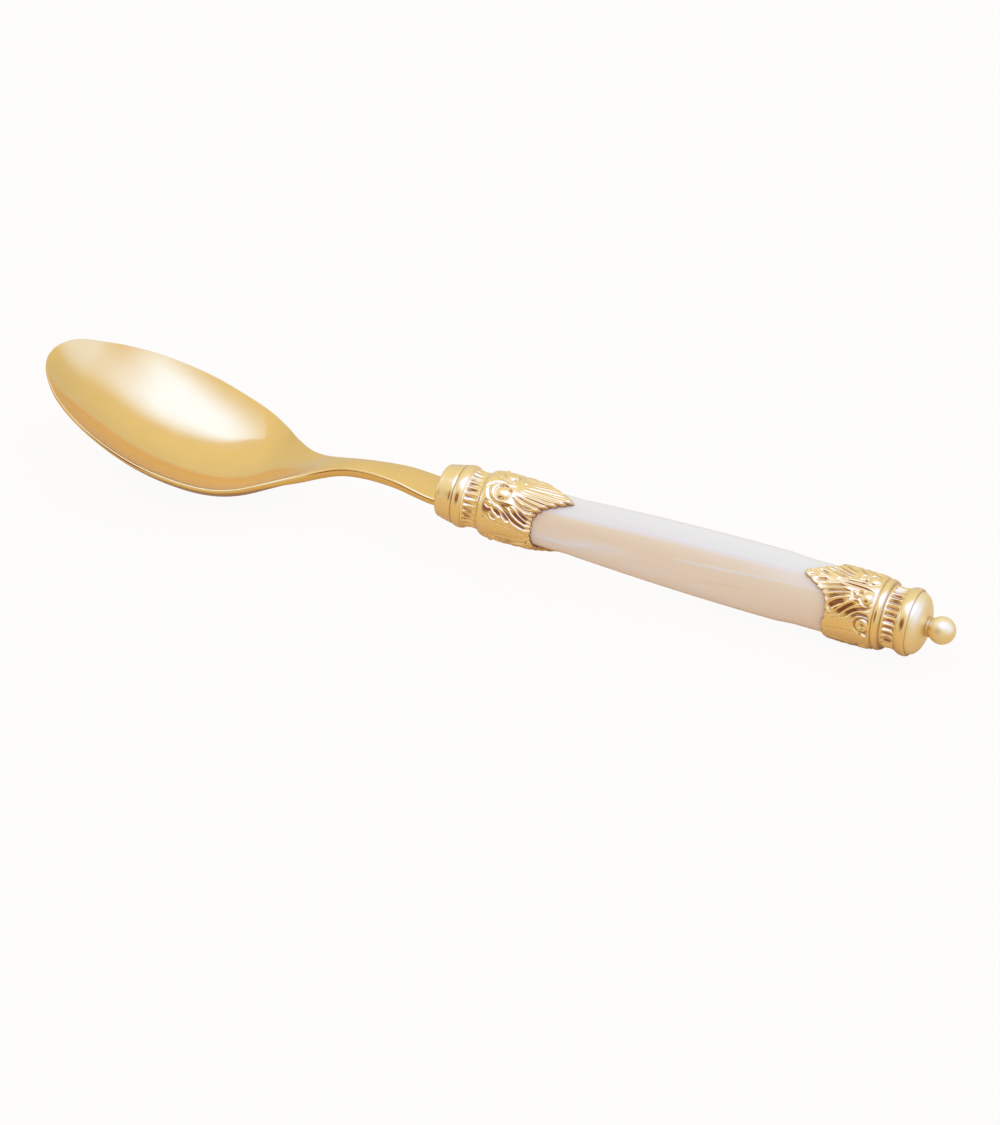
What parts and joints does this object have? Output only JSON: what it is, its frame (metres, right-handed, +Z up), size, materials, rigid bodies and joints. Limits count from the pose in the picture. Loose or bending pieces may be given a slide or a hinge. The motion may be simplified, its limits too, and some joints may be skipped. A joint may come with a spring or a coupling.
{
  "type": "tablespoon",
  "caption": "Gold-finish tablespoon: egg-shaped bowl on an arched shank, pearl acrylic grip between two cast acanthus-leaf ferrules, ball finial.",
  "frame": {"origin": "middle of the bounding box in plan, on the table that the spoon lies on", "axes": "+X along the spoon from the bowl to the finial, +Y across the bowl, +Z up; the spoon lies with its hollow up, on the underside of the bowl and on the end ferrule"},
  "size_m": [0.2142, 0.0388, 0.0224],
  "materials": {
    "polished_gold": "stainless steel with a polished gold coat",
    "cast_gold": "cast, polished and gold plated",
    "pearl_acrylic": "polished pearl acrylic with lengthwise veins",
    "rod_steel": "plain steel, hidden"
  },
  "bodies": {
    "root": {"spoon_blank": "polished_gold", "tie_rod": "rod_steel", "front_ferrule": "cast_gold", "grip": "pearl_acrylic", "end_ferrule": "cast_gold", "finial": "polished_gold"}
  },
  "joints": []
}
